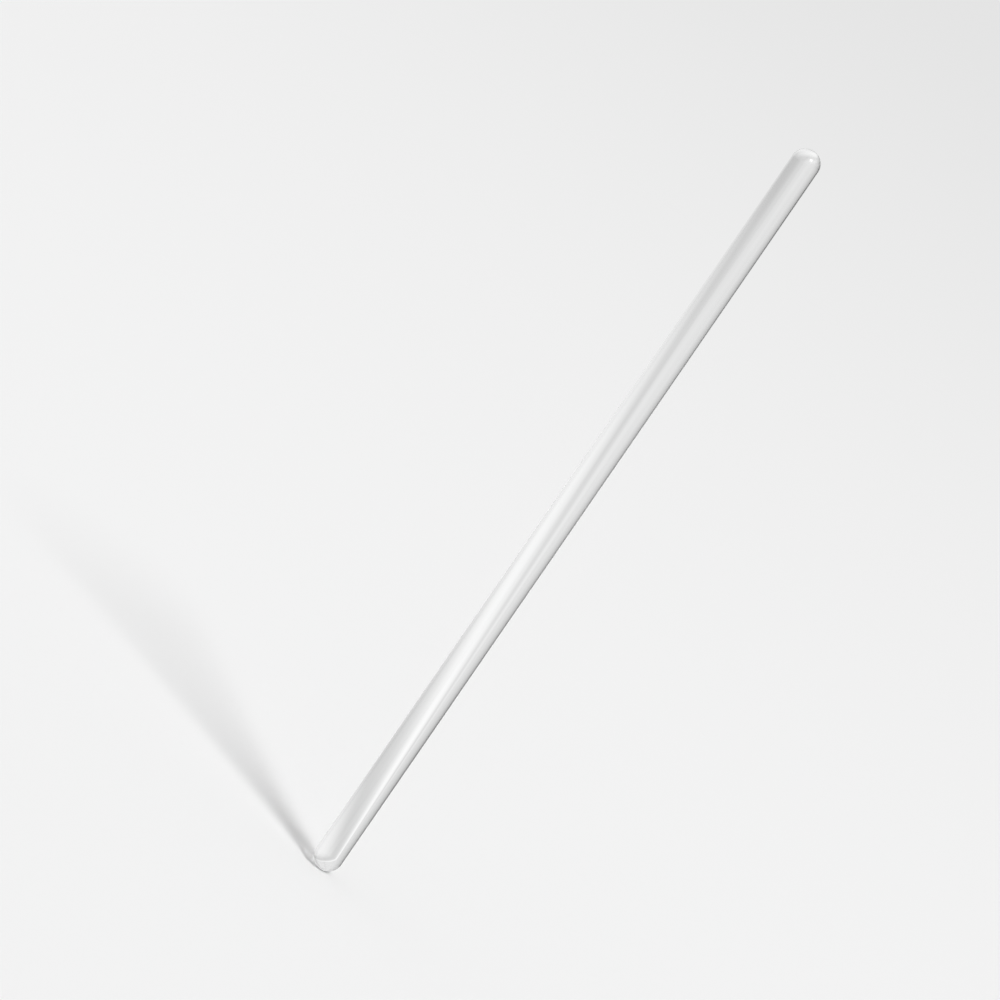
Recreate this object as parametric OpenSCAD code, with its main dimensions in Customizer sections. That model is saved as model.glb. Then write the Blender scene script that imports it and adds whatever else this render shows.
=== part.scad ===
// Glass stirring rod: one straight piece of solid drawn glass.
// Each cut end has been turned in a flame until its edge ran into a smooth dome.
// The rod stands along Z, with the tip of its stirring end at the origin.

/* [Rod] */
// Diameter of the drawn rod
rod_d = 7; // [4:0.5:12]
// Length over both ends
rod_l = 200; // [100:5:400]

/* [Fire-polished ends] */
// Edge radius of the upper end: half the diameter gives a full dome, less leaves a flat
top_round = 3.5; // [0.5:0.1:6]
// Edge radius of the stirring end: half the diameter gives a full dome, less leaves a flat
stir_round = 3.5; // [0.5:0.1:6]

/* [Hidden] */
// Radius of the straight wall, which is also the most that an edge can be rounded
rod_r = rod_d / 2;
top_r = min(top_round, rod_r);
stir_r = min(stir_round, rod_r);

// Clear glass
glass_color = [0.90, 0.94, 0.93, 0.45];

$fn = 96;

// What the flame takes off a square edge: the corner outside a quarter circle of radius r
module edge_melt(r) {
    difference() {
        square(2 * r);
        circle(r);
    }
}

// Half of the rod's section, from the axis to the wall, with the stirring end at the bottom
module rod_section() {
    difference() {
        square([rod_r, rod_l]);
        translate([rod_r - top_r, rod_l - top_r])
            edge_melt(top_r);
        translate([rod_r - stir_r, stir_r])
            mirror([0, 1])
                edge_melt(stir_r);
    }
}

module stirring_rod() {
    color(glass_color)
        rotate_extrude()
            rod_section();
}

stirring_rod();
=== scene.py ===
import math

import bmesh
import bpy
from mathutils import Matrix, Vector


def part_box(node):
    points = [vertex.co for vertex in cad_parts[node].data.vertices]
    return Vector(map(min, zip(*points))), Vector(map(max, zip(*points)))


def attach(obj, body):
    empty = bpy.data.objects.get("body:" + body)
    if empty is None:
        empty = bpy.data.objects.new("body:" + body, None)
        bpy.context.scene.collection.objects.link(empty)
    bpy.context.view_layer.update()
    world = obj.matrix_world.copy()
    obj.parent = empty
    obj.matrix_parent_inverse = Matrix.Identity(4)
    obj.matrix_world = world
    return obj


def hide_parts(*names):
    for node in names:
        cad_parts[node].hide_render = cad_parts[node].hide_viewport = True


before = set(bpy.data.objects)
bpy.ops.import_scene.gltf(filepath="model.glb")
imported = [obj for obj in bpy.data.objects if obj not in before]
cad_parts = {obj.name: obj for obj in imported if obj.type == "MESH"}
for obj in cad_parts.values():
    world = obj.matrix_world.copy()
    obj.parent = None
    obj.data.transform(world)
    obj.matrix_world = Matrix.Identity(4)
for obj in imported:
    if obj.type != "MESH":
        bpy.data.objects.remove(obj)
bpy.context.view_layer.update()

scene = bpy.context.scene
scene.view_settings.view_transform = "Standard"
rodLow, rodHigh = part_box("stirring_rod")
rodTop = Vector((0, 0, rodHigh.z))
rodFoot = Vector((0, 0, rodLow.z))
rodMiddle = (rodTop + rodFoot) / 2
print("frame loaded, rod length", round(rodHigh.z - rodLow.z, 4))


# Small helpers: materials and their nodes

def newMaterial(name):
    material = bpy.data.materials.new(name)
    material.use_nodes = True
    material.node_tree.nodes.clear()
    return material, material.node_tree


def addNode(tree, kind, **settings):
    node = tree.nodes.new(kind)
    for key, value in settings.items():
        setattr(node, key, value)
    return node


def addMath(tree, operation, *terms, clamp=False):  # each term is a socket or a number
    node = addNode(tree, "ShaderNodeMath", operation=operation, use_clamp=clamp)
    for term, socket in zip(terms, node.inputs):
        if isinstance(term, bpy.types.NodeSocket):
            tree.links.new(term, socket)
        else:
            socket.default_value = term
    return node.outputs["Value"]


def addLength(tree, vector):
    node = addNode(tree, "ShaderNodeVectorMath", operation="LENGTH")
    tree.links.new(vector, node.inputs[0])
    return node.outputs["Value"]


def addRange(tree, value, span, becomes, change="SMOOTHSTEP"):  # both as (from, to)
    node = addNode(tree, "ShaderNodeMapRange", interpolation_type=change)
    node.inputs["From Min"].default_value = span[0]
    node.inputs["From Max"].default_value = span[1]
    node.inputs["To Min"].default_value = becomes[0]
    node.inputs["To Max"].default_value = becomes[1]
    tree.links.new(value, node.inputs["Value"])
    return node.outputs["Result"]


def addNoise(tree, vector, scale, detail):
    node = addNode(tree, "ShaderNodeTexNoise")
    node.inputs["Scale"].default_value = scale
    node.inputs["Detail"].default_value = detail
    tree.links.new(vector, node.inputs["Vector"])
    return node.outputs["Fac"]


def greyColor(value):
    return (value, value, value, 1)


def addGreys(tree, value, stops, change="LINEAR"):  # stops are (position from 0 to 1, grey value)
    node = addNode(tree, "ShaderNodeValToRGB")
    ramp = node.color_ramp
    ramp.interpolation = change
    while len(ramp.elements) < len(stops):
        ramp.elements.new(1.0)
    for element, (position, grey) in zip(ramp.elements, sorted(stops)):
        element.position = position
        element.color = greyColor(grey)
    tree.links.new(value, node.inputs["Fac"])
    return node.outputs["Color"]


def addBlend(tree, share, first, second):  # share of the second shader
    node = addNode(tree, "ShaderNodeMixShader")
    tree.links.new(share, node.inputs["Fac"])
    tree.links.new(first, node.inputs[1])
    tree.links.new(second, node.inputs[2])
    return node.outputs["Shader"]


def addSurface(tree, shader):
    out = addNode(tree, "ShaderNodeOutputMaterial")
    tree.links.new(shader, out.inputs["Surface"])


# Small helpers: meshes

def meshObject(bm, name, material):
    mesh = bpy.data.meshes.new(name)
    bm.to_mesh(mesh)
    bm.free()
    mesh.materials.append(material)
    piece = bpy.data.objects.new(name, mesh)
    scene.collection.objects.link(piece)
    return piece


def makeDisc(name, look, material):
    bm = bmesh.new()
    bmesh.ops.create_circle(bm, cap_ends=True, radius=look["radius"], segments=look["sides"])
    return meshObject(bm, name, material)


# Camera, set so that both tips of the rod land on their pixels in the photograph

cameraSetup = {
    "imageSide": 1000,               # pixels
    "upperTip": (814.1, 150.9),
    "lowerTip": (320.6, 868.4),
    "distance": 1.4,                 # metres from the middle of the rod
    "above": math.radians(9.0),      # over the plane square to the rod
    "sensor": 36.0,                  # millimetres
    "focalSpan": (1000.0, 40000.0),  # pixels, between which the focal length is looked for
    "halvings": 50,
}


def axesFromPair(first, second):  # three square axes fixed by two directions
    x = (first + second).normalized()
    z = first.cross(second).normalized()
    return Matrix((x, z.cross(x), z)).transposed()


def pixelRay(pixel, focal, side):  # direction of a pixel in the camera's own axes
    return Vector((pixel[0] - side / 2, side / 2 - pixel[1], -focal)).normalized()


def makeCamera(setup):
    back = Vector((0, -math.cos(setup["above"]), math.sin(setup["above"])))
    place = rodMiddle + setup["distance"] * back
    toTop = (rodTop - place).normalized()
    toFoot = (rodFoot - place).normalized()
    spread = toTop.angle(toFoot)

    # The span is halved until it closes on the focal length that sets the tips as far apart
    short, long = setup["focalSpan"]
    for _ in range(setup["halvings"]):
        focal = (short + long) / 2
        top = pixelRay(setup["upperTip"], focal, setup["imageSide"])
        foot = pixelRay(setup["lowerTip"], focal, setup["imageSide"])
        if top.angle(foot) > spread:
            short = focal
        else:
            long = focal
    turn = axesFromPair(toTop, toFoot) @ axesFromPair(top, foot).transposed()
    data = bpy.data.cameras.new("camera")
    data.sensor_width = setup["sensor"]
    data.lens = focal / setup["imageSide"] * setup["sensor"]
    camera = bpy.data.objects.new("camera", data)
    camera.matrix_world = Matrix.Translation(place) @ turn.to_4x4()
    scene.collection.objects.link(camera)
    scene.camera = camera
    print("camera lens", round(data.lens, 1), "mm")


makeCamera(cameraSetup)


# Rod: the section is drawn as a chain of edges, then spun round the axis

rodPiece = {
    "name": "glassRod",
    "node": "stirring_rod",
    "slot": "clear_glass",
    "radius": (rodHigh.x - rodLow.x) / 2,
    "domeSteps": 32,      # edges along each quarter-round dome
    "wallRings": 48,
    "sides": 256,
    "mergeWithin": 1e-4,  # share of the radius
}


def makeRod(part, material):
    radius = part["radius"]
    bm = bmesh.new()
    lowerTip = bm.verts.new(rodFoot)
    domeCentre = rodFoot + Vector((0, 0, radius))
    dome = bmesh.ops.spin(bm, geom=[lowerTip], axis=(0, -1, 0), cent=domeCentre,
                          angle=math.pi / 2, steps=part["domeSteps"])
    shoulder = [v for v in dome["geom_last"] if isinstance(v, bmesh.types.BMVert)]
    wall = bmesh.ops.extrude_vert_indiv(bm, verts=shoulder)
    bmesh.ops.translate(bm, verts=wall["verts"], vec=rodTop - rodFoot - Vector((0, 0, 2 * radius)))
    domeCentre = rodTop - Vector((0, 0, radius))
    bmesh.ops.spin(bm, geom=wall["verts"], axis=(0, -1, 0), cent=domeCentre,
                   angle=math.pi / 2, steps=part["domeSteps"])
    bmesh.ops.subdivide_edges(bm, edges=wall["edges"], cuts=part["wallRings"])
    bmesh.ops.spin(bm, geom=bm.verts[:] + bm.edges[:], axis=(0, 0, 1), cent=(0, 0, 0),
                   angle=2 * math.pi, steps=part["sides"], use_merge=True)
    bmesh.ops.remove_doubles(bm, verts=bm.verts[:], dist=radius * part["mergeWithin"])
    bmesh.ops.recalc_face_normals(bm, faces=bm.faces[:])
    for face in bm.faces:
        face.smooth = True
    print("rod faces", len(bm.faces))
    return meshObject(bm, part["name"], material)


glassLook = {
    "ior": 1.473,              # clear borosilicate
    "paleTint": (0.996, 0.997, 0.997, 1),
    "deepTint": (0.984, 0.987, 0.986, 1),
    "drawLines": 2600.0,       # how closely the draw lines stand round the rod
    "drawStretch": 0.004,      # their scale along the rod, against 1 across it
    "drawDetail": 2.0,
    "drawDepth": 0.0000022,    # metres
    "meltedTo": 3.0,           # radii from each tip, out to which the flame softens the lines
    "hazeScale": 160.0,
    "hazeDetail": 4.0,
    "hazeSpan": (0.45, 0.80),  # values of the haze between which the polish changes
    "polish": (0.0, 0.018),    # roughness, from wiped clean to handled
    "coatWeight": 0.8,         # of the coat on the domes, in which the lamp shows
    "coatRough": 0.24,
    "coatFull": 0.75,          # radii from each tip, at which the coat has its full weight
}


def makeGlass(look, part):
    material, tree = newMaterial("drawnClearGlass")
    link = tree.links.new
    radius = part["radius"]
    halfLength = rodHigh.z - rodMiddle.z
    domeStart = halfLength - radius
    place = addNode(tree, "ShaderNodeTexCoord").outputs["Object"]
    split = addNode(tree, "ShaderNodeSeparateXYZ")
    link(place, split.inputs["Vector"])
    fromMiddle = addMath(tree, "ABSOLUTE", addMath(tree, "SUBTRACT", split.outputs["Z"], rodMiddle.z))
    glass = addNode(tree, "ShaderNodeBsdfPrincipled")
    glass.inputs["IOR"].default_value = look["ior"]
    glass.inputs["Transmission Weight"].default_value = 1.0

    # Draw lines run along the rod, so the pattern is stretched on Z
    stretch = addNode(tree, "ShaderNodeMapping")
    stretch.inputs["Scale"].default_value = (1, 1, look["drawStretch"])
    link(place, stretch.inputs["Vector"])
    lines = addNoise(tree, stretch.outputs["Vector"], look["drawLines"], look["drawDetail"])

    # The flame melts them away at both ends
    meltStart = halfLength - look["meltedTo"] * radius
    bump = addNode(tree, "ShaderNodeBump")
    bump.inputs["Distance"].default_value = look["drawDepth"]
    link(addRange(tree, fromMiddle, (meltStart, domeStart), (1.0, 0.0)), bump.inputs["Strength"])
    link(lines, bump.inputs["Height"])
    link(bump.outputs["Normal"], glass.inputs["Normal"])

    # A trace of handling: slow patches of haze and tint
    patches = addNoise(tree, place, look["hazeScale"], look["hazeDetail"])
    link(addRange(tree, patches, look["hazeSpan"], look["polish"], "LINEAR"), glass.inputs["Roughness"])
    tint = addNode(tree, "ShaderNodeValToRGB")
    tint.color_ramp.elements[0].color = look["paleTint"]
    tint.color_ramp.elements[1].color = look["deepTint"]
    link(patches, tint.inputs["Fac"])
    link(tint.outputs["Color"], glass.inputs["Base Color"])

    # The lamp shows on the domes as one soft round spot, in a coat on their outer side only
    glass.inputs["Coat Roughness"].default_value = look["coatRough"]
    glass.inputs["Coat IOR"].default_value = look["ior"]
    coatFull = halfLength - look["coatFull"] * radius
    coat = addRange(tree, fromMiddle, (domeStart, coatFull), (0.0, look["coatWeight"]))
    inside = addNode(tree, "ShaderNodeNewGeometry").outputs["Backfacing"]
    link(addMath(tree, "SUBTRACT", coat, inside, clamp=True), glass.inputs["Coat Weight"])
    addSurface(tree, glass.outputs["BSDF"])
    return material


rodObject = makeRod(rodPiece, makeGlass(glassLook, rodPiece))
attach(rodObject, "root")
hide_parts(rodPiece["node"])


# Floor: pale, lit near the rod, and a plain field of the same tone further off

floorLook = {
    "nearTone": 0.895,
    "farTone": 0.78,
    "toneRun": (0.2, 5.0),  # metres from the rod over which the tone changes
    "radius": 8.0,
    "sides": 96,
    "litTo": 0.5,           # metres from the rod, out to which the lamp's shadows fall in full
    "plainFrom": 1.6,
}


def makeFloor(look):
    material, tree = newMaterial("paleFloor")
    link = tree.links.new
    away = addLength(tree, addNode(tree, "ShaderNodeTexCoord").outputs["Object"])
    # Painted light: the floor's tone is paler near the rod and darker further off
    run = [math.sqrt(metres) for metres in look["toneRun"]]     # fast near the rod, then slower
    tone = addRange(tree, addMath(tree, "SQRT", away), run, (look["nearTone"], look["farTone"]))
    near = addNode(tree, "ShaderNodeBsdfDiffuse")
    link(tone, near.inputs["Color"])
    far = addNode(tree, "ShaderNodeEmission")
    link(tone, far.inputs["Color"])
    plain = addRange(tree, away, (look["litTo"], look["plainFrom"]), (0.0, 1.0))
    addSurface(tree, addBlend(tree, plain, near.outputs["BSDF"], far.outputs["Emission"]))

    floor = makeDisc("floor", look, material)
    floor.visible_glossy = False         # the glass sees the leaning card instead
    floor.visible_transmission = False


makeFloor(floorLook)


# What the glass bends into view: a pale card that leans under the rod, with a painted pool of light round
# the foot, painted shade close round the foot and a painted soft oval shadow to the right, and a wall with
# dark flags painted on the left

glassField = {
    "faces": Vector((-0.61, -0.10, 0.79)),  # square to the card, upwards
    "below": 0.006,          # metres under the foot
    "radius": 6.0,
    "sides": 96,
    # metres out, tone of the painted pool of light; the dip close to the foot is painted shade
    "pool": [(0.02, 0.90), (0.05, 0.65), (0.15, 0.97), (0.25, 0.92),
             (0.36, 0.76), (0.60, 0.85), (1.30, 0.79)],
    "shadowAt": (0.49, 0.21),
    "shadowTurn": 110.0,     # degrees
    "shadowStretch": 2.8,
    # metres out, light taken away by the painted shadow
    "shadow": [(0.10, 0.50), (0.20, 0.29), (0.24, 0.18), (0.30, 0.10), (0.50, 0.0)],
    "wallTone": 0.78,
    # degrees from straight behind the rod, right positive, and the light that the flags of painted shade
    # leave
    "flagShades": [(-172, 1.0), (-163, 0.35), (-155, 0.35), (-146, 1.0),
              (-94, 1.0), (-78, 0.3), (-68, 0.0), (-61, 0.0), (-56, 0.5), (-40, 0.8), (-24, 1.0)],
    # the same lower down, where the wide band of painted shade is thinner and another stands next to it
    "lowFlagShades": [(-172, 1.0), (-163, 0.35), (-155, 0.35), (-146, 1.0),
                 (-133, 1.0), (-120, 0.1), (-108, 0.1), (-96, 0.7), (-86, 0.8),
                 (-74, 0.2), (-61, 0.2), (-48, 0.7), (-24, 1.0)],
    "lowFrom": (-0.38, -0.32),  # Z of a ray's direction over which the low flags end
}


def addRings(tree, vector, stops, centre=(0, 0), turn=0.0, stretch=1.0):  # tones in oval rings
    oval = addNode(tree, "ShaderNodeMapping", vector_type="TEXTURE")
    oval.inputs["Location"].default_value = (*centre, 0)
    oval.inputs["Rotation"].default_value = (0, 0, math.radians(turn))
    oval.inputs["Scale"].default_value = (stretch, 1, 1)
    tree.links.new(vector, oval.inputs["Vector"])
    widest = stops[-1][0]
    share = addMath(tree, "DIVIDE", addLength(tree, oval.outputs["Vector"]), widest)
    return addGreys(tree, share, [(metres / widest, tone) for metres, tone in stops], "CARDINAL")


# Painted shade: dark bands painted into a tone by the angle round the rod
def addFlagShades(tree, vector, stops):  # tones by the angle round the rod
    turn = addNode(tree, "ShaderNodeMapping")
    turn.inputs["Rotation"].default_value = (0, 0, math.radians(-90))
    tree.links.new(vector, turn.inputs["Vector"])
    angle = addNode(tree, "ShaderNodeTexGradient", gradient_type="RADIAL")    # 0.5 straight behind
    tree.links.new(turn.outputs["Vector"], angle.inputs["Vector"])
    return addGreys(tree, angle.outputs["Fac"], [(0.5 - degrees / 360, tone) for degrees, tone in stops])


def makeCard(field):
    material, tree = newMaterial("paleCard")
    link = tree.links.new
    place = addNode(tree, "ShaderNodeTexCoord").outputs["Object"]
    # The card's tone is painted light: a pool of light with painted shade at the foot, less a painted oval
    # shadow
    pool = addRings(tree, place, field["pool"])
    shadow = addRings(tree, place, field["shadow"], field["shadowAt"], field["shadowTurn"],
                      field["shadowStretch"])
    glow = addNode(tree, "ShaderNodeEmission")
    link(addFlagShades(tree, place, field["flagShades"]), glow.inputs["Color"])
    link(addMath(tree, "SUBTRACT", pool, shadow), glow.inputs["Strength"])
    addSurface(tree, glow.outputs["Emission"])

    card = makeDisc("card", field, material)
    up = field["faces"].normalized()
    across = Vector((up.z, 0, -up.x)).normalized()
    lean = Matrix((across, up.cross(across), up)).transposed().to_4x4()
    card.matrix_world = lean @ Matrix.Translation((0, 0, -field["below"]))
    card.visible_camera = False
    card.visible_diffuse = False
    card.visible_shadow = False


makeCard(glassField)
print("floor and card laid")


# Light: a wide soft fill from all round, and one soft lamp to the right, above the camera

lightSetup = {
    "fill": 0.6,             # share of the light that comes from all round; the lamp gives the rest
    "lampFrom": Vector((0.34, -0.57, 0.75)),  # direction of the lamp, seen from the rod
    "lampWidth": 13.0,       # degrees that it spans
    "bounces": 256,          # light that a dome sends down the rod turns many times
}


def makeWorld(setup, field, backTone):
    world = bpy.data.worlds.new("studio")
    scene.world = world
    world.use_nodes = True
    tree = world.node_tree
    tree.nodes.clear()
    link = tree.links.new
    fill = addNode(tree, "ShaderNodeBackground")
    fill.inputs["Color"].default_value = greyColor(setup["fill"])
    backdrop = addNode(tree, "ShaderNodeBackground")
    backdrop.inputs["Color"].default_value = greyColor(backTone)

    # The wall that the glass sees, with its flags of painted shade
    around = addNode(tree, "ShaderNodeTexCoord").outputs["Generated"]
    split = addNode(tree, "ShaderNodeSeparateXYZ")
    link(around, split.inputs["Vector"])
    flagShades = addNode(tree, "ShaderNodeMix", data_type="RGBA")
    link(addRange(tree, split.outputs["Z"], field["lowFrom"], (1.0, 0.0)), flagShades.inputs["Factor"])
    link(addFlagShades(tree, around, field["flagShades"]), flagShades.inputs["A"])
    link(addFlagShades(tree, around, field["lowFlagShades"]), flagShades.inputs["B"])
    wall = addNode(tree, "ShaderNodeBackground")
    link(flagShades.outputs["Result"], wall.inputs["Color"])
    wall.inputs["Strength"].default_value = field["wallTone"]

    # The camera sees the backdrop, the glass sees the wall, and all else is lit by the fill
    path = addNode(tree, "ShaderNodeLightPath").outputs
    inGlass = addMath(tree, "MAXIMUM", path["Is Glossy Ray"], path["Is Transmission Ray"])
    plain = addBlend(tree, path["Is Camera Ray"], fill.outputs["Background"],
                     backdrop.outputs["Background"])
    out = addNode(tree, "ShaderNodeOutputWorld")
    link(addBlend(tree, inGlass, plain, wall.outputs["Background"]), out.inputs["Surface"])


def makeLamp(setup):
    aim = setup["lampFrom"].normalized()
    data = bpy.data.lights.new("softLamp", "SUN")
    data.angle = math.radians(setup["lampWidth"])
    data.energy = (1 - setup["fill"]) * math.pi / aim.z
    data.cycles.use_multiple_importance_sampling = False     # no ray in the glass meets its face
    lamp = bpy.data.objects.new("softLamp", data)
    lamp.visible_transmission = False
    turn = aim.to_track_quat("Z", "Y").to_matrix().to_4x4()
    lamp.matrix_world = Matrix.Translation(rodMiddle + aim) @ turn
    scene.collection.objects.link(lamp)


makeWorld(lightSetup, glassField, floorLook["farTone"])
makeLamp(lightSetup)
for kind in ("max_bounces", "glossy_bounces", "transmission_bounces"):
    setattr(scene.cycles, kind, lightSetup["bounces"])
print("lights set")
